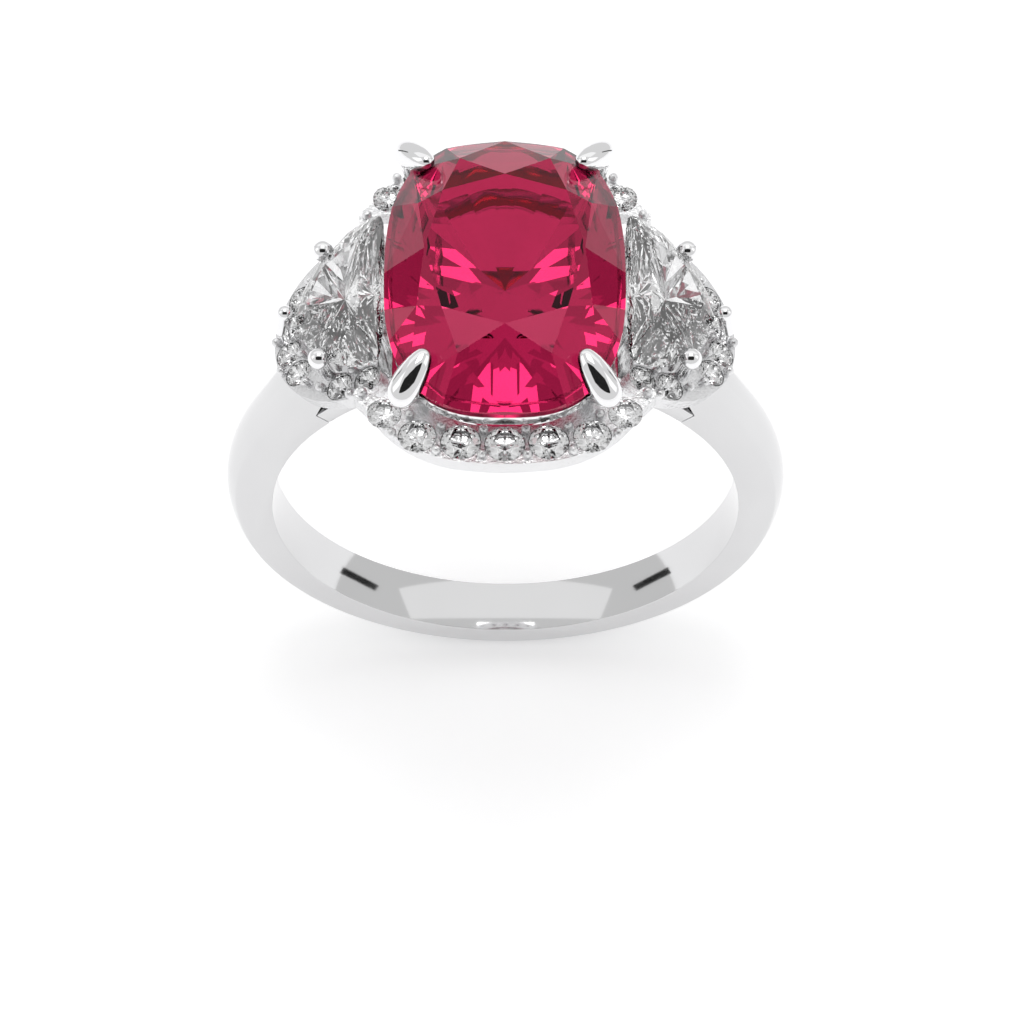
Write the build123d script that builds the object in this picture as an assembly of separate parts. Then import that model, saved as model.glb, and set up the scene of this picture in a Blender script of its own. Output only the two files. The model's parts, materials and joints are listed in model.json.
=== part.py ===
from build123d import *
from math import acos, asin, atan2, cos, degrees, hypot, pi, radians, sin, sqrt, tan
import os

# Cocktail ring: a cushion-cut centre stone with a half-moon diamond on each shoulder, in a melee halo.
# The origin is the centre of the finger hole, Y runs along the hole and +Z points to the centre stone.
# Millimetres.  The ring is symmetric left to right and front to back.

# finger hole and band
bore_radius = 8.6            # EU size 54
band_width = 2.1
band_base_thickness = 1.3    # at the bottom of the band
band_side_thickness = 1.67   # at the height of the finger's centre
band_dome = 0.38             # how far the outer face bulges across its width
band_shoulder_round = 0.16

# cathedral arms and the rail on the finger side of the head
arm_top_x = 5.64             # outer line of an arm at the height of the side halo
arm_top_width = 0.95         # across the arm, there
arm_inner_foot = 46.5        # angle from vertical where the arms leave the bridge
bridge_thickness = 0.64

# centre stone
ruby_half_width = 4.09
ruby_half_length = 5.65
ruby_outline_power = 2.75    # superellipse exponent of the cushion outline
ruby_girdle_height = bore_radius + 4.9   # top of the girdle above the finger's centre
ruby_girdle = 0.2
ruby_crown = 1.45
ruby_pavilion = 3.45
ruby_table = (0.66, 0.55)    # table size as a share of the width and of the length
ruby_chords = 5              # straight girdle chords along each upper girdle facet

# centre head
base_ring_half_width = 2.9
base_ring_half_length = 4.0
base_ring_wall = 0.7
base_ring_top = bore_radius + 1.3
seat_rail_height = 0.4
seat_rail_inset = 0.12       # outer face of the seat rail inside the stone's outline
seat_rail_wall = 0.75
seat_rail_drop = 0.35        # top of the seat rail below the girdle
claw_foot_radius = 0.3
claw_neck_radius = 0.44      # where the shaft runs into the head
claw_radius = 0.49           # of the head at its fullest
claw_tip_radius = 0.15
claw_knee = (0.12, 0.5, 0.25)     # middle of the head's full end, from the outline's corner
claw_tip = (-0.66, -0.56, 1.02)   # end of its tip, from the same corner

# halo round the centre stone
halo_top = bore_radius + 3.1
halo_plate = 0.56
halo_end_y = 5.75            # middle stone of each end
halo_end_radius = 13.6       # curve of the row of stones
corner_step = (1.13, -0.9)   # from the last stone on that curve to the corner stone
centre_melee = 1.34          # diameter
melee_gap = 0.136            # between the stones on that curve
shoulder_melee = 1.26        # the stones next to the corners
corner_melee = 1.14
halo_rim = 0.12              # metal outside the middle stone
halo_edge_half = 1.5         # X where the outer edge turns towards the corner
halo_edge_radius = 10.5
halo_edge_beyond = (0.58, -0.38)  # end of the outer edge, from the corner stone
halo_inner_inset = 0.62      # inner edge inside the centre stone's outline
halo_heel = 0.55             # end of the plate inside the outline's corner, along the finger
halo_tab_step = (0.74, -0.81)    # from the corner stone to the post that joins end and side
halo_tab_width = 0.6

# side heads, tilted outward
side_tilt = 32.5
side_origin_x = 4.05
side_top = bore_radius + 3.15    # height of the side halo's top face at side_origin_x
side_halo_centre = 0.95      # from the side origin, outward along the tilted face
side_halo_reach = 3.2        # ellipse of the row of stones, outward
side_halo_half = 2.9         # and along the finger
side_melee = 1.0
side_melee_angles = (11.5, 32.5, 73.0, 93.5)
side_bead_angles = (45.5, 59.5)
side_rim = 0.06
basket_drop = 1.3            # underside of the side basket below the side halo's top
basket_outer_radius = 2.85
basket_wall = 0.7
basket_back = 0.1            # straight side, outward from the side origin

# half-moon diamonds
moon_nose = 3.11
moon_half_length = 3.05
moon_back = 0.45
moon_power = 1.7
moon_back_power = 5.0
moon_girdle_height = 1.0     # above the side halo's top
moon_girdle = 0.14
moon_crown = 0.5
moon_pavilion = 1.35
moon_culet = 1.1             # keel point, outward from the side origin
moon_table = (0.6, 0.6)
moon_chords = 4

# melee diamonds, as shares of the diameter
melee_table = (0.57, 0.57)   # of the girdle
melee_crown = 0.15
melee_girdle = 0.05
melee_pavilion = 0.43
melee_seat_cone = 0.36       # depth of the seat's cone
melee_seat_drill = 0.19      # radius of the hole under the stone
seat_clearance = 0.02        # round each melee stone

# claws and beads
side_claw_radius = 0.27
side_claw_neck = 0.23
side_claw_tip = 0.38
side_claw_reach = 0.06       # ball centre outside the half-moon's outline, in x and in y
side_claw_rise = 0.16        # and above its girdle
side_claw_angle = 52.5       # on the side halo, in the gap between its stones
side_claw_shift = -0.42
side_claw_share = 0.137      # where its tip meets the half-moon's outline
outer_claw_shaft = 0.17
outer_claw_radius = 0.25
outer_claw_tip = 0.29
outer_claw_shift = 0.3       # foot outside the row of stones
outer_claw_knee = (-0.52, 0.62)  # from the foot, inward and up from the halo's top
outer_claw_rise = 0.6        # its tip above the half-moon's girdle
claw_lean = 0.05             # foot of a side head's claw, outward of where it leaves the halo
claw_sink = 0.3              # extra length at a claw's foot, trimmed level
bead_radius = 0.17
bead_height = 0.12           # cylinder part, below the domed tip
bead_offset = 0.48           # beads either side of the row's centre line
bead_pair_limit = 1.7        # stones further apart than this share no beads

os.makedirs("parts", exist_ok=True)

crest_lift = (((bore_radius + band_side_thickness) ** 2 - (bore_radius + band_base_thickness) ** 2)
              / (2 * (bore_radius + band_base_thickness)))
crest_radius = bore_radius + band_base_thickness + crest_lift
band_depth = crest_radius - bore_radius + 2 * bridge_thickness
arm_top_z = side_top - crest_lift
arm_angle = 90 - degrees(atan2(arm_top_z, arm_top_x) - acos(crest_radius / hypot(arm_top_x, arm_top_z)))

upward = (Align.CENTER, Align.CENTER, Align.MIN)
downward = (Align.CENTER, Align.CENTER, Align.MAX)

side_plane = Plane(
    origin=(side_origin_x, 0, side_top),
    x_dir=(cos(radians(side_tilt)), 0, -sin(radians(side_tilt))),
    z_dir=(sin(radians(side_tilt)), 0, cos(radians(side_tilt))),
)


# shared shapes
def signed_power(value, exponent):
    """value to the exponent, keeping its sign."""
    size = abs(value) ** exponent
    return size if value >= 0 else -size


def cushion(t):
    """Point on the cushion outline, t from 0 to 1 once round from +X."""
    angle = 2 * pi * t
    share = 2 / ruby_outline_power
    return (ruby_half_width * signed_power(cos(angle), share),
            ruby_half_length * signed_power(sin(angle), share))


def half_moon(t):
    """Point on the half-moon outline about its keel point, with the curved side towards +X."""
    angle = 2 * pi * t
    reach, power = (moon_nose, moon_power) if cos(angle) > 0 else (moon_back, moon_back_power)
    share = 2 / power
    return (reach * signed_power(cos(angle), share) - moon_culet,
            moon_half_length * signed_power(sin(angle), share))


def circle_outline(radius):
    return lambda t: (radius * cos(2 * pi * t), radius * sin(2 * pi * t))


def polygon_face(points):
    return Face(Wire.make_polygon([Vector(*point) for point in points], close=True))


def height_on(plane_points, x, y):
    """Height at x, y of the plane through three points."""
    first, second, third = (Vector(*point) for point in plane_points)
    normal = (second - first).cross(third - first)
    return first.Z - (normal.X * (x - first.X) + normal.Y * (y - first.Y)) / normal.Z


def brilliant(outline, table, crown, girdle, pavilion, steps, star=0.76, lower=0.24, mains=8):
    """Brilliant-cut stone with flat facets, girdle top at z = 0 and culet on the axis.

    outline(t) gives the girdle; table is the table's share of it in x and y; steps is the
    number of girdle chords along each upper girdle facet.
    """
    turn = cos(pi / mains)
    table_mean = sum(table) / 2
    star_z = crown * (1 - (star * turn - table_mean) / (1 - table_mean))
    lower_z = -girdle - pavilion * (1 - lower * turn)
    culet = (0, 0, -girdle - pavilion)
    faces = []
    tables = []
    for k in range(mains):
        x, y = outline(k / mains)
        tables.append((x * table[0], y * table[1], crown))
    faces.append(polygon_face(tables))
    stars, lowers = [], []
    for k in range(mains):
        x, y = outline((k + 0.5) / mains)
        stars.append((star * x, star * y, star_z))
        lowers.append((lower * x, lower * y, lower_z))
    for k in range(mains):
        after = (k + 1) % mains
        main = (*outline(k / mains), 0)
        main_low = (main[0], main[1], -girdle)
        faces.append(polygon_face([tables[k], tables[after], stars[k]]))
        for other in (stars[k], stars[k - 1]):
            faces.append(polygon_face([tables[k], other, main]))
        for other in (lowers[k], lowers[k - 1]):
            faces.append(polygon_face([culet, other, main_low]))
        for start, end in ((k, k + 0.5), (k + 1, k + 0.5)):
            top, low = [], []
            corners = [outline((start % mains) / mains), outline((end % mains) / mains)]
            top_plane = [stars[k], (*corners[0], 0), (*corners[1], 0)]
            low_plane = [lowers[k], (*corners[0], -girdle), (*corners[1], -girdle)]
            for step in range(steps + 1):
                x, y = outline(((start + (end - start) * step / steps) % mains) / mains)
                top.append((x, y, height_on(top_plane, x, y)))
                low.append((x, y, height_on(low_plane, x, y)))
            faces.append(polygon_face([stars[k], *top]))
            faces.append(polygon_face([lowers[k], *low]))
            for step in range(steps):
                faces.append(polygon_face([top[step], top[step + 1], low[step + 1], low[step]]))
    return Solid(Shell(faces))


def round_stone(diameter):
    """Full-cut melee diamond, girdle top at z = 0."""
    return brilliant(circle_outline(diameter / 2), melee_table, melee_crown * diameter,
                     melee_girdle * diameter, melee_pavilion * diameter, 1)


def melee_seat(diameter, depth):
    """Cutter for one melee stone: a straight wall down to the girdle and a cone through the plate."""
    radius = diameter / 2 + seat_clearance
    drill = melee_seat_drill * diameter
    wall = Cylinder(radius, diameter, align=upward)
    cone = Cone(drill, radius, melee_seat_cone * diameter, align=downward)
    through = Cylinder(drill, 2 * depth, align=downward)
    return Pos(0, 0, -melee_girdle * diameter - seat_clearance) * (wall + cone + through)


def bead():
    """One pave bead: a short post with a domed tip, standing on z = 0."""
    post = Cylinder(bead_radius, bead_height, align=upward)
    return post + Pos(0, 0, bead_height) * Sphere(bead_radius)


def tapered(start, end, start_radius, end_radius):
    """Round bar from start to end."""
    along = end - start
    bar = Cone(start_radius, end_radius, along.length, align=upward)
    return Plane(origin=start, z_dir=along) * bar


def rounded_bar(start, end, start_radius, end_radius):
    """Turned bar with a ball about start and a round tip at end, its side running into both."""
    along = end - start
    far = along.length - end_radius
    lean = degrees(asin((start_radius - end_radius) / far))
    low = CenterArc((0, 0), start_radius, -90, 90 + lean)
    high = CenterArc((0, far), end_radius, lean, 90 - lean)
    half = make_face(Plane.XZ * (low + Line(low @ 1, high @ 0) + high + Line(high @ 1, low @ 0)))
    return Plane(origin=start, z_dir=along) * revolve(half, Axis.Z)


def cut_below(shape, height):
    """The shape with everything below z = height taken off."""
    size = 4 * ruby_half_length
    return shape - Pos(0, 0, height) * Box(size, size, size, align=downward)


def mirrored(shape, flip_x, flip_y):
    """The shape, mirrored left to right and front to back as asked."""
    if flip_x:
        shape = mirror(shape, about=Plane.YZ)
    if flip_y:
        shape = mirror(shape, about=Plane.XZ)
    return shape


# band
def band_section():
    """D-shaped section of the band in the XY plane: X outward from the crest circle's centre."""
    half = band_width / 2
    flank = crest_radius - band_dome
    foot = Polyline((flank, -half), (crest_radius - band_depth, -half),
                    (crest_radius - band_depth, half), (flank, half))
    dome = ThreePointArc(foot @ 1, (crest_radius, 0), foot @ 0)
    section = make_face([foot, dome])
    return fillet(section.vertices().group_by(Axis.X)[-1], band_shoulder_round)


def shank():
    """Band that thickens towards the sides and runs straight up into the two cathedral arms."""
    tangent = 90 - arm_angle
    start = Pos(0, 0, crest_lift) * Rot(0, -tangent, 0) * band_section()
    turn = revolve(start, Axis((0, 0, crest_lift), (0, 1, 0)), 180 + 2 * tangent)
    direction = (-cos(radians(arm_angle)), 0, sin(radians(arm_angle)))
    arm = extrude(start, amount=ruby_girdle_height, dir=direction)
    body = turn + arm + mirror(arm, about=Plane.YZ) - finger_hole() - head_space()
    for flip in (False, True):
        body -= mirrored(above_basket(), flip, False)
    return body


def finger_hole():
    return Rot(90, 0, 0) * Cylinder(bore_radius, 4 * band_width)


def head_space():
    """Room between the arms for the bridge and the centre head, through the band's width."""
    outer = bore_radius + bridge_thickness
    foot_x = outer * sin(radians(arm_inner_foot))
    foot_z = outer * cos(radians(arm_inner_foot))
    top_z = ruby_girdle_height
    run = (foot_x - arm_top_x + arm_top_width) / (side_top - foot_z)
    top_x = foot_x - (top_z - foot_z) * run
    outline = Polygon((0, 0), (foot_x, foot_z), (top_x, top_z), (-top_x, top_z), (-foot_x, foot_z),
                      align=None)
    return extrude(Plane.XZ * outline, amount=2 * band_width, both=True)


def above_basket():
    """Everything above the underside of the right-hand side basket."""
    size = 6 * side_halo_reach
    block = Box(size, size, size, align=upward)
    return side_plane * (Pos(side_halo_centre, 0, -basket_drop) * block)


def finger_bridge():
    """Thin rail that closes the finger hole under the head, between the two arms."""
    outer = bore_radius + bridge_thickness
    reach = 2 * outer
    spread = reach * tan(radians(arm_inner_foot))
    wedge = Plane.XZ * Polygon((0, 0), (spread, reach), (-spread, reach), align=None)
    ring = Rot(90, 0, 0) * Cylinder(outer, band_width) - finger_hole()
    return ring & extrude(wedge, amount=band_width, both=True)


# centre head
def centre_base_ring():
    """Oval rail that stands on the bridge and carries the four centre claws."""
    outer = Ellipse(base_ring_half_width, base_ring_half_length)
    inner = Ellipse(base_ring_half_width - base_ring_wall, base_ring_half_length - base_ring_wall)
    tall = base_ring_top - bore_radius * cos(radians(arm_inner_foot))
    ring = Pos(0, 0, base_ring_top) * extrude(outer - inner, amount=-tall)
    saddle = Rot(90, 0, 0) * Cylinder(bore_radius + bridge_thickness, 4 * base_ring_half_length)
    return ring - saddle


def centre_ruby():
    """Elongated cushion brilliant."""
    stone = brilliant(cushion, ruby_table, ruby_crown, ruby_girdle, ruby_pavilion, ruby_chords)
    return Pos(0, 0, ruby_girdle_height) * stone


def centre_seat_rail(ruby, claws):
    """Rail under the stone's girdle, between the claws, hollowed to the stone's pavilion."""
    outer = cushion_face(seat_rail_inset)
    inner = cushion_face(seat_rail_inset + seat_rail_wall)
    top = ruby_girdle_height - ruby_girdle - seat_rail_drop
    rail = Pos(0, 0, top) * extrude(outer - inner, amount=-seat_rail_height)
    return rail - [ruby, *claws]


def cushion_face(inset):
    """Cushion outline, moved in by inset."""
    shrink_x = 1 - inset / ruby_half_width
    shrink_y = 1 - inset / ruby_half_length
    points = [cushion(i / 32) for i in range(32)]
    return make_face(Spline([(x * shrink_x, y * shrink_y) for x, y in points], periodic=True))


def centre_claw(ruby):
    """Claw at the +X +Y corner: leans out from the base ring and bends over the crown."""
    foot_x = (base_ring_half_width - base_ring_wall / 2) * sqrt(0.5)
    foot_y = (base_ring_half_length - base_ring_wall / 2) * sqrt(0.5)
    foot = Vector(foot_x, foot_y, base_ring_top)
    corner = Vector(*cushion(1 / 8), ruby_girdle_height)
    knee = corner + Vector(*claw_knee)
    tip = corner + Vector(*claw_tip)
    below = foot - (knee - foot) * claw_sink / (knee.Z - foot.Z)
    shaft = tapered(below, knee, claw_foot_radius, claw_neck_radius)
    head = rounded_bar(knee, tip, claw_radius, claw_tip_radius)
    return cut_below(shaft + head, base_ring_top) - ruby


# side heads
def side_basket():
    """D-shaped rail under the side halo; the arm ends against its underside."""
    top = -halo_plate
    outer = d_face(basket_outer_radius, basket_back)
    inner = d_face(basket_outer_radius - basket_wall, basket_back + basket_wall)
    return side_plane * (Pos(0, 0, -basket_drop) * extrude(outer - inner, amount=basket_drop + top))


def d_face(radius, back):
    """Disc about the side halo's centre, cut off straight at back."""
    disc = Pos(side_halo_centre, 0) * Circle(radius)
    cut = Pos(back, 0) * Rectangle(4 * radius, 4 * radius, align=(Align.MAX, Align.CENTER))
    return disc - cut


def half_moon_diamond():
    stone = brilliant(half_moon, moon_table, moon_crown, moon_girdle, moon_pavilion, moon_chords)
    return side_plane * (Pos(moon_culet, 0, moon_girdle_height) * stone)


def side_claw(moon):
    """Round claw with a ball tip over the half-moon's flank, between two halo stones."""
    x, y = on_side_halo(side_claw_angle, side_claw_shift)
    foot = Vector(x + claw_lean, y, -halo_plate - claw_sink)
    tip_x, tip_y = half_moon(side_claw_share)
    tip = Vector(tip_x + moon_culet + side_claw_reach, tip_y + side_claw_reach,
                 moon_girdle_height + side_claw_rise)
    post = tapered(foot, tip, side_claw_radius, side_claw_neck)
    ball = Pos(tip.X, tip.Y, tip.Z) * Sphere(side_claw_tip)
    return side_plane * (cut_below(post, -halo_plate) + ball) - moon


def outer_claw(moon, stones):
    """Upright claw at the nose of the half-moon, rising between the two outermost halo stones."""
    x = side_halo_centre + side_halo_reach + outer_claw_shift
    foot = Vector(x + claw_lean, 0, -halo_plate - claw_sink)
    knee_in, knee_up = outer_claw_knee
    knee = Vector(x + knee_in, 0, knee_up)
    tip = Vector(moon_nose, 0, moon_girdle_height + outer_claw_rise)
    post = tapered(foot, knee, outer_claw_shaft, outer_claw_radius - seat_clearance)
    head = rounded_bar(knee, tip, outer_claw_radius, outer_claw_tip)
    return side_plane * (cut_below(post, -halo_plate) + head) - [moon, *stones]


def on_side_halo(angle, shift=0.0):
    """Point on the side halo's row of stones, or on the row moved outward by shift."""
    return (side_halo_centre + (side_halo_reach + shift) * cos(radians(angle)),
            (side_halo_half + shift) * sin(radians(angle)))


# halo
def end_row_points():
    """Melee places of the back end row, from the -X corner to the +X corner."""
    turn = 2 * asin((centre_melee + melee_gap) / (2 * halo_end_radius))
    centre_y = halo_end_y - halo_end_radius
    row = [(halo_end_radius * sin(i * turn), centre_y + halo_end_radius * cos(i * turn))
           for i in (-2, -1, 0, 1, 2)]
    corner_x, corner_y = moved(row[-1], corner_step)
    return [(-corner_x, corner_y), *row, (corner_x, corner_y)]


def moved(point, step):
    return point[0] + step[0], point[1] + step[1]


def side_points():
    """Melee places of the right side halo in the tilted plane, from front to back."""
    half = [on_side_halo(angle) for angle in side_melee_angles]
    return [(x, -y) for x, y in reversed(half)] + half


def slot(start, end, width):
    """Straight slot with round ends."""
    run = Vector(*end) - Vector(*start)
    middle = (Vector(*end) + Vector(*start)) / 2
    turn = degrees(atan2(run.Y, run.X))
    return Pos(middle.X, middle.Y) * Rot(0, 0, turn) * SlotCenterToCenter(run.length, width)


def end_diameters():
    """Diameters of the melee in an end row, in the order of end_row_points."""
    half = [corner_melee, shoulder_melee, centre_melee]
    return [*half, centre_melee, *reversed(half)]


def halo_end_face():
    """Outline of the back end plate: curved outer edge, open round the centre stone."""
    edge_y = halo_end_y + centre_melee / 2 + halo_rim
    turn_y = edge_y - halo_edge_radius + sqrt(halo_edge_radius ** 2 - halo_edge_half ** 2)
    last = end_row_points()[-1]
    corner_x, corner_y = moved(last, halo_edge_beyond)
    base_y = cushion(1 / 8)[1] - halo_heel
    end = ThreePointArc((halo_edge_half, turn_y), (0, edge_y), (-halo_edge_half, turn_y))
    left = TangentArc(end @ 1, (-corner_x, corner_y), tangent=end % 1)
    right = mirror(left, about=Plane.YZ)
    close = Polyline(left @ 1, (-corner_x, base_y), (corner_x, base_y), (corner_x, corner_y))
    face = make_face([end, left, right, close])
    tab_x, tab_y = moved(last, halo_tab_step)
    for side in (-1, 1):
        face += slot((side * last[0], last[1]), (side * tab_x, tab_y), halo_tab_width)
    return face - cushion_face(halo_inner_inset)


def halo_end(stones, neighbours):
    """Back end of the centre halo, with seats, beads and a post at each corner, cut to its neighbours."""
    plate = extrude(halo_end_face(), amount=-halo_plate)
    points = end_row_points()
    for first, second in zip(points, points[1:]):
        plate += beads_between(first, second)
    tab_x, tab_y = moved(points[-1], halo_tab_step)
    for side in (-1, 1):
        plate += Pos(side * tab_x, tab_y) * bead()
    for (x, y), diameter in zip(points, end_diameters()):
        plate -= Pos(x, y) * melee_seat(diameter, halo_plate)
    return Pos(0, 0, halo_top) * plate - [*stones, *neighbours]


def halo_side_face():
    """Outline of the right side plate: half an elliptical band that runs on to its end stones."""
    half = side_melee / 2 + side_rim
    centre = Pos(side_halo_centre, 0)
    band = centre * (Ellipse(side_halo_reach + half, side_halo_half + half)
                     - Ellipse(side_halo_reach - half, side_halo_half - half))
    last_x, last_y = on_side_halo(side_melee_angles[-1])
    size = 4 * side_halo_half
    band -= Pos(last_x, 0) * Rectangle(size, size, align=(Align.MAX, Align.CENTER))
    return band + [Pos(last_x, side * last_y) * Circle(half) for side in (-1, 1)]


def halo_side(stones, claws):
    """Right side halo: a plate bent round the half-moon diamond, with seats and beads."""
    plate = extrude(halo_side_face(), amount=-halo_plate)
    points = side_points()
    for first, second in zip(points, points[1:]):
        plate += beads_between(first, second)
    for angle in side_bead_angles:
        for side in (-1, 1):
            x, y = on_side_halo(angle, bead_radius / 2)
            plate += Pos(x, side * y) * bead()
    for x, y in points:
        plate -= Pos(x, y) * melee_seat(side_melee, halo_plate)
    return side_plane * plate - [*stones, *claws]


def beads_between(first, second):
    """A bead on each side of the row between two stones, unless they stand far apart."""
    gap = Vector(*second) - Vector(*first)
    middle = (Vector(*second) + Vector(*first)) / 2
    across = Vector(-gap.Y, gap.X).normalized() * bead_offset
    places = [middle + across, middle - across] if gap.length < bead_pair_limit else []
    return [Pos(place.X, place.Y) * bead() for place in places]


# assembly
sides = {"left": True, "right": False}
ends = {"front": True, "back": False}
nodes = {}


def place_everywhere(name, shape):
    """The +X +Y piece, and its mirror images at the other three corners."""
    for end, flip_y in ends.items():
        for side, flip_x in sides.items():
            nodes[f"{name}_{end}_{side}"] = mirrored(shape, flip_x, flip_y)


def place_both_sides(name, shape):
    """The +X piece and its mirror image."""
    for side, flip_x in sides.items():
        nodes[f"{name}_{side}"] = mirrored(shape, flip_x, False)


ruby = centre_ruby()
moon = half_moon_diamond()
melee_side = round_stone(side_melee)
end_stones = [Pos(x, y, halo_top) * round_stone(diameter)
              for (x, y), diameter in zip(end_row_points(), end_diameters())]
side_stones = [side_plane * (Pos(x, y) * melee_side) for x, y in side_points()]

nodes["shank"] = shank()
nodes["finger_bridge"] = finger_bridge()
nodes["centre_base_ring"] = centre_base_ring()
nodes["centre_ruby"] = ruby
corner = centre_claw(ruby)
place_everywhere("centre_claw", corner)
all_claws = [nodes[f"centre_claw_{end}_{side}"] for end in ends for side in sides]
nodes["centre_seat_rail"] = centre_seat_rail(ruby, all_claws)

flank = side_claw(moon)
nose = outer_claw(moon, side_stones)
place_both_sides("side_basket", side_basket())
place_both_sides("half_moon_diamond", moon)
place_everywhere("side_claw", flank)
place_both_sides("outer_claw", nose)
right_plate = halo_side(side_stones, [flank, mirrored(flank, False, True), nose])
place_both_sides("halo", right_plate)

beside_back = [corner, right_plate, *side_stones]
back_plate = halo_end(end_stones, beside_back + [mirrored(shape, True, False) for shape in beside_back])
for end, flip_y in ends.items():
    nodes[f"halo_{end}"] = mirrored(back_plate, False, flip_y)
    for i, stone in enumerate(end_stones, 1):
        nodes[f"halo_diamond_{end}_{i}"] = mirrored(stone, False, flip_y)
for side, flip_x in sides.items():
    for i, stone in enumerate(side_stones, 1):
        nodes[f"halo_diamond_{side}_{i}"] = mirrored(stone, flip_x, False)

for name, shape in nodes.items():
    export_step(shape, f"parts/{name}.step")
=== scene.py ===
import json
from math import cos, pi, radians, sin, sqrt
import bpy
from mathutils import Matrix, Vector

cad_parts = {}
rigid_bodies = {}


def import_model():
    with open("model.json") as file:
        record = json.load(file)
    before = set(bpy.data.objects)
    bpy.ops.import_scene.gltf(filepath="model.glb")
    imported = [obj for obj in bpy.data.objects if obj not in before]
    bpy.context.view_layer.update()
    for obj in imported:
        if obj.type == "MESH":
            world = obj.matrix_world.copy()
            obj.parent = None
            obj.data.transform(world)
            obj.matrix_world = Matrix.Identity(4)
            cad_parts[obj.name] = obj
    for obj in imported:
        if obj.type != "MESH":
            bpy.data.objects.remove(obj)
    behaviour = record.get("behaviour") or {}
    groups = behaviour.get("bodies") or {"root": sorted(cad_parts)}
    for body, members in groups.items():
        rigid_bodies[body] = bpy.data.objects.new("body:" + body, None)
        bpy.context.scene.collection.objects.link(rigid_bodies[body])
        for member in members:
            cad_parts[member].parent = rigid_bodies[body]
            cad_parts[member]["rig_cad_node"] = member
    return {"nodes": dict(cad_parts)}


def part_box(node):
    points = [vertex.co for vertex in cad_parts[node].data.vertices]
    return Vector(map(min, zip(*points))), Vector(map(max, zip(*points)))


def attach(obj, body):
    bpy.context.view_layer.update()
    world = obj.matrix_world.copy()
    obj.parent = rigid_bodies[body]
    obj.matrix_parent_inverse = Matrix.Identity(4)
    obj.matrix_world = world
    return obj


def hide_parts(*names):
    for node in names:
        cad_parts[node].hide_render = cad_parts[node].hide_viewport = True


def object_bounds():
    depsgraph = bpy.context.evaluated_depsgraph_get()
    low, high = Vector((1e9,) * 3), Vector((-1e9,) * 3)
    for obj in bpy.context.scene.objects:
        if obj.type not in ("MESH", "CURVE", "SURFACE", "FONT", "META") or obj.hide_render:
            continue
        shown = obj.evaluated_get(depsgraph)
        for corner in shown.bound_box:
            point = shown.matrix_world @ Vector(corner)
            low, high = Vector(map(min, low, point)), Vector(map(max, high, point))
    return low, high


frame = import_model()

mm = 0.001
mergeGap = 0.001 * mm
nodes = frame["nodes"]
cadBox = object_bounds()


# Selecting

def deselectAll():
    if bpy.context.mode != "OBJECT":
        bpy.ops.object.mode_set(mode="OBJECT")
    bpy.ops.object.select_all(action="DESELECT")


def makeActive(piece):
    deselectAll()
    piece.select_set(True)
    bpy.context.view_layer.objects.active = piece


def startSelecting(kind):
    # clears the selection in edit mode, then leaves it so that elements can be marked
    bpy.ops.object.mode_set(mode="EDIT")
    bpy.ops.mesh.select_mode(type=kind)
    bpy.ops.mesh.select_all(action="DESELECT")
    bpy.ops.object.mode_set(mode="OBJECT")


# Camera

# place and near in mm, far in metres
camera = {"place": (0.241, -70.10, 109.49), "tilt": 32.24, "lens": 123.26, "sensor": 36.0,
          "near": 1, "far": 10}


def addCamera():
    deselectAll()
    bpy.ops.object.camera_add(location=[value * mm for value in camera["place"]],
                              rotation=(radians(camera["tilt"]), 0, 0))
    view = bpy.context.active_object
    view.name = "viewCamera"
    view.data.lens = camera["lens"]
    view.data.sensor_width = camera["sensor"]
    view.data.clip_start = camera["near"] * mm
    view.data.clip_end = camera["far"]
    bpy.context.scene.camera = view


# Studio

studio = {
    # size in metres, gap under the ring in mm
    "floor": {"size": 3.0, "colour": (0.93, 0.93, 0.935), "roughness": 0.9, "gap": 0.02, "glow": 0.24},
    "room": 0.74,
    # name, place in metres, width, height, brightness
    "softboxes": [
        ("topBox", (0.0, 0.07, 0.42), 0.20, 0.16, 2.9),
        ("backBox", (0.0, 0.27, 0.36), 0.90, 0.22, 0.28),
        ("leftBox", (-0.36, -0.02, 0.22), 0.18, 0.26, 0.45),
        ("rightBox", (0.36, -0.02, 0.22), 0.18, 0.26, 0.45),
    ],
    "cardColour": (0.004, 0.004, 0.004),
    # dark cards that draw the thin black lines in the polish: name, place in metres, width, height
    "cards": [
        ("cameraCard", (0.0, -0.113, 0.188), 0.26, 0.14),
        ("accentLeft", (-0.169, 0.106, 0.025), 0.014, 0.075),
        ("accentRight", (0.169, 0.106, 0.025), 0.014, 0.075),
    ],
}
# lights and cards face this point, in the head of the ring
aim = Vector((0, 0, 8)) * mm


def pointAt(thing, target):
    thing.rotation_euler = (target - thing.location).to_track_quat("-Z", "Y").to_euler()


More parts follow.
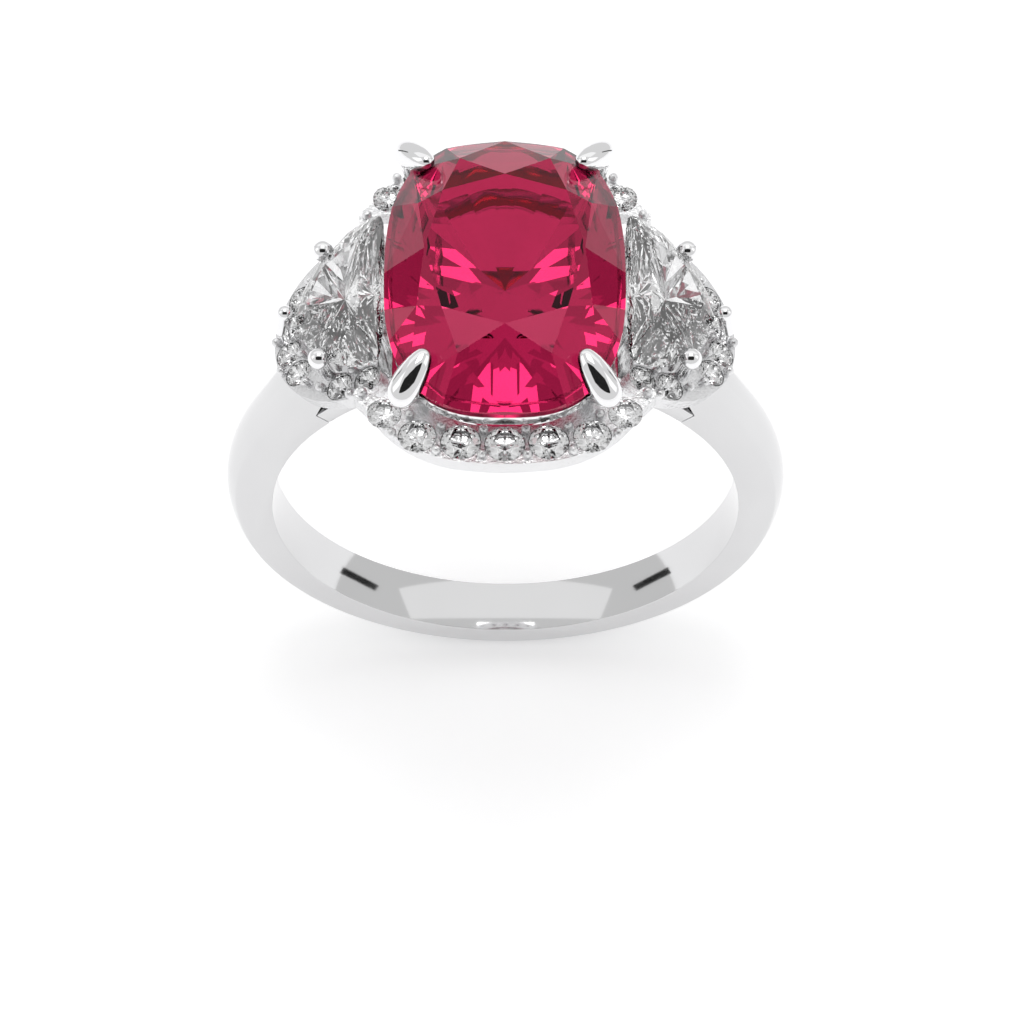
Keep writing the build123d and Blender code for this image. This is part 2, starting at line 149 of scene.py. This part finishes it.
def addStudio():
    floorSettings = studio["floor"]
    bottom = cadBox[0].z - floorSettings["gap"] * mm
    deselectAll()
    bpy.ops.mesh.primitive_plane_add(size=floorSettings["size"], location=(0, 0, bottom))
    floor = bpy.context.active_object
    floor.name = "studioFloor"
    paint = plainMaterial("floorPaint", floorSettings["colour"], floorSettings["roughness"])
    shader = paint.node_tree.nodes["Principled BSDF"]
    shader.inputs["Emission Color"].default_value = (1, 1, 1, 1)
    shader.inputs["Emission Strength"].default_value = floorSettings["glow"]
    floor.data.materials.append(paint)
    for name, place, width, height, brightness in studio["softboxes"]:
        deselectAll()
        bpy.ops.object.light_add(type="AREA", location=place)
        box = bpy.context.active_object
        box.name = name
        box.data.shape = "RECTANGLE"
        box.data.size, box.data.size_y = width, height
        box.data.energy = pi * brightness * width * height
        box.visible_camera = False
        pointAt(box, aim)
    black = plainMaterial("blackCard", studio["cardColour"], 1.0)
    for name, place, width, height in studio["cards"]:
        deselectAll()
        bpy.ops.mesh.primitive_plane_add(size=1, location=place)
        card = bpy.context.active_object
        card.name = name
        card.scale = (width, height, 1)
        pointAt(card, aim)
        card.visible_camera = False
        card.visible_diffuse = False
        card.visible_transmission = False
        card.visible_shadow = False
        card.data.materials.append(black)
    world = bpy.data.worlds.new("whiteRoom")
    world.use_nodes = True
    world.node_tree.nodes["Background"].inputs["Color"].default_value = (1, 1, 1, 1)
    world.node_tree.nodes["Background"].inputs["Strength"].default_value = studio["room"]
    bpy.context.scene.world = world
    bpy.context.scene.view_settings.view_transform = "Standard"


# Finishes

def plainMaterial(name, colour, roughness):
    made = bpy.data.materials.new(name)
    made.use_nodes = True
    shader = made.node_tree.nodes["Principled BSDF"]
    shader.inputs["Base Color"].default_value = (*colour, 1)
    shader.inputs["Roughness"].default_value = roughness
    return made


def link(tree, source, target):
    tree.links.new(source, target)


def newNode(tree, kind, **values):
    node = tree.nodes.new(kind)
    for name, value in values.items():
        node.inputs[name].default_value = value
    return node


socketKinds = {"number": "NodeSocketFloat", "colour": "NodeSocketColor", "vector": "NodeSocketVector"}


def newGroup(name, inputs, outputs):
    group = bpy.data.node_groups.new(name, "ShaderNodeTree")
    for socket, kind, start in inputs:
        made = group.interface.new_socket(name=socket, in_out="INPUT", socket_type=socketKinds[kind])
        made.default_value = start
    for socket, kind in outputs:
        group.interface.new_socket(name=socket, in_out="OUTPUT", socket_type=socketKinds[kind])
    return group


def buildPolishGroup():
    # fine buffing marks, a slow waviness and a grain for polished metal
    group = newGroup("polishMarks",
                     [("Roughness Low", "number", 0.03), ("Roughness High", "number", 0.09),
                      ("Mark Size", "number", 3000.0), ("Depth", "number", 0.05), ("Grain", "number", 0.0),
                      ("Colour", "colour", (0.9, 0.9, 0.9, 1)), ("Tarnish", "colour", (0.8, 0.8, 0.8, 1))],
                     [("Colour", "colour"), ("Roughness", "number"), ("Normal", "vector")])
    values = group.nodes.new("NodeGroupInput")
    result = group.nodes.new("NodeGroupOutput")
    place = group.nodes.new("ShaderNodeTexCoord")
    marks = newNode(group, "ShaderNodeTexNoise", Detail=4.0, Roughness=0.65)
    link(group, place.outputs["Object"], marks.inputs["Vector"])
    link(group, values.outputs["Mark Size"], marks.inputs["Scale"])
    clouds = newNode(group, "ShaderNodeTexNoise", Scale=260.0, Detail=2.0)
    link(group, place.outputs["Object"], clouds.inputs["Vector"])
    ramp = group.nodes.new("ShaderNodeMapRange")
    link(group, marks.outputs["Fac"], ramp.inputs["Value"])
    link(group, values.outputs["Roughness Low"], ramp.inputs["To Min"])
    link(group, values.outputs["Roughness High"], ramp.inputs["To Max"])
    tint = group.nodes.new("ShaderNodeMix")
    tint.data_type = "RGBA"
    link(group, clouds.outputs["Fac"], tint.inputs["Factor"])
    link(group, values.outputs["Colour"], tint.inputs["A"])
    link(group, values.outputs["Tarnish"], tint.inputs["B"])
    bump = newNode(group, "ShaderNodeBump", Distance=0.00002)
    link(group, values.outputs["Depth"], bump.inputs["Strength"])
    link(group, clouds.outputs["Fac"], bump.inputs["Height"])
    link(group, tint.outputs["Result"], result.inputs["Colour"])
    link(group, ramp.outputs["Result"], result.inputs["Roughness"])
    grain = newNode(group, "ShaderNodeBump", Distance=0.0001)
    link(group, values.outputs["Grain"], grain.inputs["Strength"])
    link(group, marks.outputs["Fac"], grain.inputs["Height"])
    link(group, bump.outputs["Normal"], grain.inputs["Normal"])
    link(group, grain.outputs["Normal"], result.inputs["Normal"])
    return group


def buildStoneGroup():
    # very slight colour zoning, as inside any natural stone
    group = newGroup("stoneZones",
                     [("Clear", "colour", (1, 1, 1, 1)), ("Cloudy", "colour", (0.9, 0.9, 0.9, 1)),
                      ("Zone Size", "number", 600.0), ("Polish", "number", 0.0)],
                     [("Colour", "colour"), ("Roughness", "number")])
    values = group.nodes.new("NodeGroupInput")
    result = group.nodes.new("NodeGroupOutput")
    place = group.nodes.new("ShaderNodeTexCoord")
    zones = newNode(group, "ShaderNodeTexNoise", Detail=3.0, Distortion=0.4)
    link(group, place.outputs["Object"], zones.inputs["Vector"])
    link(group, values.outputs["Zone Size"], zones.inputs["Scale"])
    tint = group.nodes.new("ShaderNodeMix")
    tint.data_type = "RGBA"
    link(group, zones.outputs["Fac"], tint.inputs["Factor"])
    link(group, values.outputs["Clear"], tint.inputs["A"])
    link(group, values.outputs["Cloudy"], tint.inputs["B"])
    wear = group.nodes.new("ShaderNodeMath")
    wear.operation = "MULTIPLY"
    link(group, zones.outputs["Fac"], wear.inputs[0])
    link(group, values.outputs["Polish"], wear.inputs[1])
    link(group, tint.outputs["Result"], result.inputs["Colour"])
    link(group, wear.outputs["Value"], result.inputs["Roughness"])
    return group


def placeGroup(material, group, **values):
    tree = material.node_tree
    node = tree.nodes.new("ShaderNodeGroup")
    node.node_tree = group
    for name, value in values.items():
        node.inputs[name.replace("_", " ")].default_value = value
    return node


metals = {
    # the band's copy of the white metal is darkened: painted shade, so the band sits dimmer than the rest of
    # the same metal
    "bandShadedPolish": {"Colour": (0.71, 0.71, 0.715, 1), "Tarnish": (0.67, 0.67, 0.675, 1), "Mark_Size": 2600.0,
                   "Roughness_Low": 0.04, "Roughness_High": 0.1, "Depth": 0.03},
    # the gallery's copy of the white metal is lightened: painted light for the metal shaded under the head
    # and stones
    "galleryLitPolish": {"Colour": (0.93, 0.93, 0.93, 1), "Tarnish": (0.88, 0.88, 0.89, 1), "Mark_Size": 3600.0,
                      "Roughness_Low": 0.08, "Roughness_High": 0.2, "Depth": 0.08},
    "clawPolish": {"Colour": (0.90, 0.90, 0.905, 1), "Tarnish": (0.86, 0.86, 0.87, 1), "Mark_Size": 3000.0,
                   "Roughness_Low": 0.03, "Roughness_High": 0.08, "Depth": 0.02},
    "haloPolish": {"Colour": (0.85, 0.85, 0.855, 1), "Tarnish": (0.72, 0.72, 0.73, 1), "Mark_Size": 5500.0,
                   "Roughness_Low": 0.04, "Roughness_High": 0.12, "Depth": 0.05, "Grain": 0.6},
}
stones = {
    "rubyGlass": {"Clear": (0.45, 0.014, 0.075, 1), "Cloudy": (0.33, 0.008, 0.045, 1), "Zone_Size": 420.0,
                  "Polish": 0.01, "ior": 1.76, "sheen": (0.36, 0.12, 0.17, 1)},
    "halfMoonGlass": {"Clear": (1, 1, 1, 1), "Cloudy": (0.97, 0.975, 0.98, 1), "Zone_Size": 800.0,
                      "Polish": 0.006, "ior": 2.42, "sheen": (1, 1, 1, 1)},
    "meleeGlass": {"Clear": (1, 1, 1, 1), "Cloudy": (0.96, 0.965, 0.97, 1), "Zone_Size": 1500.0,
                   "Polish": 0.006, "ior": 2.42, "sheen": (1, 1, 1, 1)},
}


def metalMaterial(name, group):
    made = bpy.data.materials.new(name)
    made.use_nodes = True
    shader = made.node_tree.nodes["Principled BSDF"]
    shader.inputs["Metallic"].default_value = 1.0
    marks = placeGroup(made, group, **metals[name])
    link(made.node_tree, marks.outputs["Colour"], shader.inputs["Base Color"])
    link(made.node_tree, marks.outputs["Roughness"], shader.inputs["Roughness"])
    link(made.node_tree, marks.outputs["Normal"], shader.inputs["Normal"])
    return made


def stoneMaterial(name, group):
    settings = dict(stones[name])
    made = bpy.data.materials.new(name)
    made.use_nodes = True
    shader = made.node_tree.nodes["Principled BSDF"]
    shader.inputs["Transmission Weight"].default_value = 1.0
    shader.inputs["IOR"].default_value = settings.pop("ior")
    shader.inputs["Specular Tint"].default_value = settings.pop("sheen")
    zones = placeGroup(made, group, **settings)
    link(made.node_tree, zones.outputs["Colour"], shader.inputs["Base Color"])
    link(made.node_tree, zones.outputs["Roughness"], shader.inputs["Roughness"])
    return made


def buildFinishes():
    polish = buildPolishGroup()
    zones = buildStoneGroup()
    made = {name: metalMaterial(name, polish) for name in metals}
    made.update({name: stoneMaterial(name, zones) for name in stones})
    return made


def finishFor(node):
    if node in ("shank", "finger_bridge"):
        return "bandShadedPolish"
    if node == "centre_ruby":
        return "rubyGlass"
    if node.startswith("half_moon_diamond"):
        return "halfMoonGlass"
    if node.startswith("halo_diamond"):
        return "meleeGlass"
    if node.startswith("halo_"):
        return "haloPolish"
    if "claw" in node:
        return "clawPolish"
    return "galleryLitPolish"


def dressFrame():
    for name, piece in nodes.items():
        for place in piece.material_slots:
            place.material = finishes[finishFor(name)]


# Metal pieces with softened edges, from the fitted parts

softening = {"flatAngle": 0.5, "edgeAngle": 35, "smoothAngle": 32}
softEdges = {
    # node: bevel width in mm, bevel steps, slot
    "shank": (0.14, 3, "band_metal"),
    "finger_bridge": (0.08, 2, "band_metal"),
    "centre_base_ring": (0.06, 2, "gallery_metal"),
    "centre_seat_rail": (0.05, 2, "gallery_metal"),
    "side_basket_left": (0.06, 2, "gallery_metal"),
    "side_basket_right": (0.06, 2, "gallery_metal"),
}


def mergedCopy(node, name):
    # a copy of a fitted part as one clean mesh with its real faces
    deselectAll()
    nodes[node].select_set(True)
    bpy.context.view_layer.objects.active = nodes[node]
    bpy.ops.object.duplicate()
    piece = bpy.context.active_object
    piece.name = piece.data.name = name
    del piece["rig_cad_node"]
    makeActive(piece)
    bpy.ops.mesh.customdata_custom_splitnormals_clear()
    bpy.ops.object.mode_set(mode="EDIT")
    bpy.ops.mesh.select_all(action="SELECT")
    bpy.ops.mesh.remove_doubles(threshold=mergeGap)
    bpy.ops.mesh.dissolve_limited(angle_limit=radians(softening["flatAngle"]))
    bpy.ops.object.mode_set(mode="OBJECT")
    return piece


def standFor(piece, node):
    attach(piece, "root")
    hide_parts(node)


def softenEdges(node, width, steps, slot):
    piece = mergedCopy(node, node.replace("_", ".") + ".polished")
    bevel = piece.modifiers.new("edgeRound", "BEVEL")
    bevel.width = width * mm
    bevel.segments = steps
    bevel.limit_method = "ANGLE"
    bevel.angle_limit = radians(softening["edgeAngle"])
    bpy.ops.object.modifier_apply(modifier="edgeRound")
    bpy.ops.object.shade_smooth_by_angle(angle=radians(softening["smoothAngle"]))
    standFor(piece, node)


# Half-moon diamonds, with their facets split again for a finer sparkle

halfMoon = {
    # the stone's plane, in mm: its lean, where it starts and how high its girdle lies
    "tilt": 32.5, "originX": 4.05, "originZ": 11.75, "girdle": 0.93,
    # how far the facets' middles are raised, and the pavilion's points scattered, in mm
    "rise": 0.05, "crownRise": 0.02, "scatter": 0.035, "seed": 3,
    # facets leaning less than edgeOn are the girdle's, more than flat is the table
    "edgeOn": 0.1, "flat": 0.995,
}


def selectFaces(piece, wanted):
    startSelecting("FACE")
    for face in piece.data.polygons:
        face.select = wanted(face)
    bpy.ops.object.mode_set(mode="EDIT")


def cutHalfMoon(side):
    node = "half_moon_diamond_" + side
    piece = mergedCopy(node, "half.moon.diamond." + side)
    way = -1 if side == "left" else 1
    lean = radians(halfMoon["tilt"])
    up = Vector((way * sin(lean), 0, cos(lean)))
    origin = Vector((way * halfMoon["originX"], 0, halfMoon["originZ"])) * mm
    girdle = halfMoon["girdle"] * mm

    def height(face):
        return (Vector(face.center) - origin).dot(up)

    def pavilionFacet(face):
        return height(face) < girdle and abs(face.normal.dot(up)) > halfMoon["edgeOn"]

    def crownFacet(face):
        return height(face) > girdle and halfMoon["edgeOn"] < face.normal.dot(up) < halfMoon["flat"]

    selectFaces(piece, pavilionFacet)
    bpy.ops.mesh.poke(offset=halfMoon["rise"] * mm)
    bpy.ops.mesh.subdivide(number_cuts=1)
    bpy.ops.transform.vertex_random(offset=halfMoon["scatter"] * mm, seed=halfMoon["seed"])
    bpy.ops.object.mode_set(mode="OBJECT")
    selectFaces(piece, crownFacet)
    bpy.ops.mesh.poke(offset=halfMoon["crownRise"] * mm)
    bpy.ops.object.mode_set(mode="OBJECT")
    standFor(piece, node)


# Corner claws: full almond heads that bend over the ruby's crown

cornerClaw = {
    # from the high corner of the fitted claw's box, in mm
    "heel": (-0.14, -0.02, -1.2), "tip": (-1.24, -1.52, -0.04),
    "foot": (-2.10, -2.81, -4.6), "neck": (-0.48, -0.50, -1.0),
    "radius": 0.55, "flat": 0.94, "footRadius": 0.30, "neckRadius": 0.43,
    "sides": 32, "rings": 24,
    "fillet": 0.05, "filletSteps": 3, "filletAngle": 25, "smoothAngle": 40,
    # share of the head's length, share of its radius
    "outline": [(0.0, 0.0), (0.02, 0.36), (0.06, 0.62), (0.12, 0.82), (0.20, 0.95), (0.30, 1.0), (0.45, 0.99),
                (0.60, 0.92), (0.75, 0.79), (0.87, 0.61), (0.94, 0.45), (0.98, 0.28), (1.0, 0.0)],
}


def along(outline, share):
    for (low, first), (high, second) in zip(outline, outline[1:]):
        if share <= high:
            return first + (second - first) * (share - low) / (high - low)
    return outline[-1][1]


def turnTo(piece, start, end):
    # lays a piece made along Z from start to end, and applies its place
    direction = end - start
    piece.rotation_euler = direction.to_track_quat("Z", "Y").to_euler()
    piece.location = (start + end) / 2
    makeActive(piece)
    bpy.ops.object.transform_apply(location=True, rotation=True, scale=True)


def clawHead(heel, tip):
    length = (tip - heel).length
    radius = cornerClaw["radius"] * mm
    deselectAll()
    bpy.ops.mesh.primitive_uv_sphere_add(segments=cornerClaw["sides"], ring_count=cornerClaw["rings"],
                                         radius=length / 2, location=(0, 0, 0))
    head = bpy.context.active_object
    levels = sorted({round(vertex.co.z, 7) for vertex in head.data.vertices})
    for level in levels[1:-1]:
        # each ring of the sphere takes its radius from the outline
        wanted = radius * along(cornerClaw["outline"], level / length + 0.5)
        grow = wanted / sqrt((length / 2) ** 2 - level ** 2)
        startSelecting("VERT")
        for vertex in head.data.vertices:
            vertex.select = abs(vertex.co.z - level) < mergeGap
        bpy.ops.object.mode_set(mode="EDIT")
        bpy.ops.transform.resize(value=(grow, grow * cornerClaw["flat"], 1), center_override=(0, 0, level))
    bpy.ops.object.mode_set(mode="OBJECT")
    turnTo(head, heel, tip)
    return head


def buildCornerClaw():
    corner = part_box("centre_claw_back_right")[1]
    heel, tip, foot, neck = (corner + Vector(cornerClaw[name]) * mm
                             for name in ("heel", "tip", "foot", "neck"))
    head = clawHead(heel, tip)
    deselectAll()
    bpy.ops.mesh.primitive_cone_add(vertices=cornerClaw["sides"], radius1=cornerClaw["footRadius"] * mm,
                                    radius2=cornerClaw["neckRadius"] * mm, depth=(neck - foot).length)
    shaft = bpy.context.active_object
    turnTo(shaft, foot, neck)
    union = shaft.modifiers.new("oneClaw", "BOOLEAN")
    union.operation = "UNION"
    union.object = head
    makeActive(shaft)
    bpy.ops.object.modifier_apply(modifier="oneClaw")
    bpy.data.objects.remove(head)
    bevel = shaft.modifiers.new("fillet", "BEVEL")
    bevel.width = cornerClaw["fillet"] * mm
    bevel.segments = cornerClaw["filletSteps"]
    bevel.limit_method = "ANGLE"
    bevel.angle_limit = radians(cornerClaw["filletAngle"])
    bpy.ops.object.modifier_apply(modifier="fillet")
    shaft.data.materials.append(finishes["clawPolish"])
    bpy.ops.object.shade_smooth_by_angle(angle=radians(cornerClaw["smoothAngle"]))
    return shaft


def placeCornerClaws():
    first = buildCornerClaw()
    for end, flipY in (("back", 1), ("front", -1)):
        for side, flipX in (("right", 1), ("left", -1)):
            makeActive(first)
            bpy.ops.object.duplicate()
            claw = bpy.context.active_object
            claw.name = claw.data.name = f"corner.claw.{end}.{side}"
            claw.scale = (flipX, flipY, 1)
            bpy.ops.object.transform_apply(location=True, rotation=True, scale=True)
            bpy.ops.object.mode_set(mode="EDIT")
            bpy.ops.mesh.select_all(action="SELECT")
            bpy.ops.mesh.remove_doubles(threshold=mergeGap)
            bpy.ops.mesh.normals_make_consistent(inside=False)
            bpy.ops.object.mode_set(mode="OBJECT")
            standFor(claw, f"centre_claw_{end}_{side}")
    bpy.data.objects.remove(first)


addCamera()
print("camera placed")
addStudio()
print("studio lit")
finishes = buildFinishes()
dressFrame()
print("finishes on")
for node, values in softEdges.items():
    softenEdges(node, *values)
print("metal edges softened")
for side in ("left", "right"):
    cutHalfMoon(side)
print("half-moons cut")
placeCornerClaws()
print("corner claws bent over")
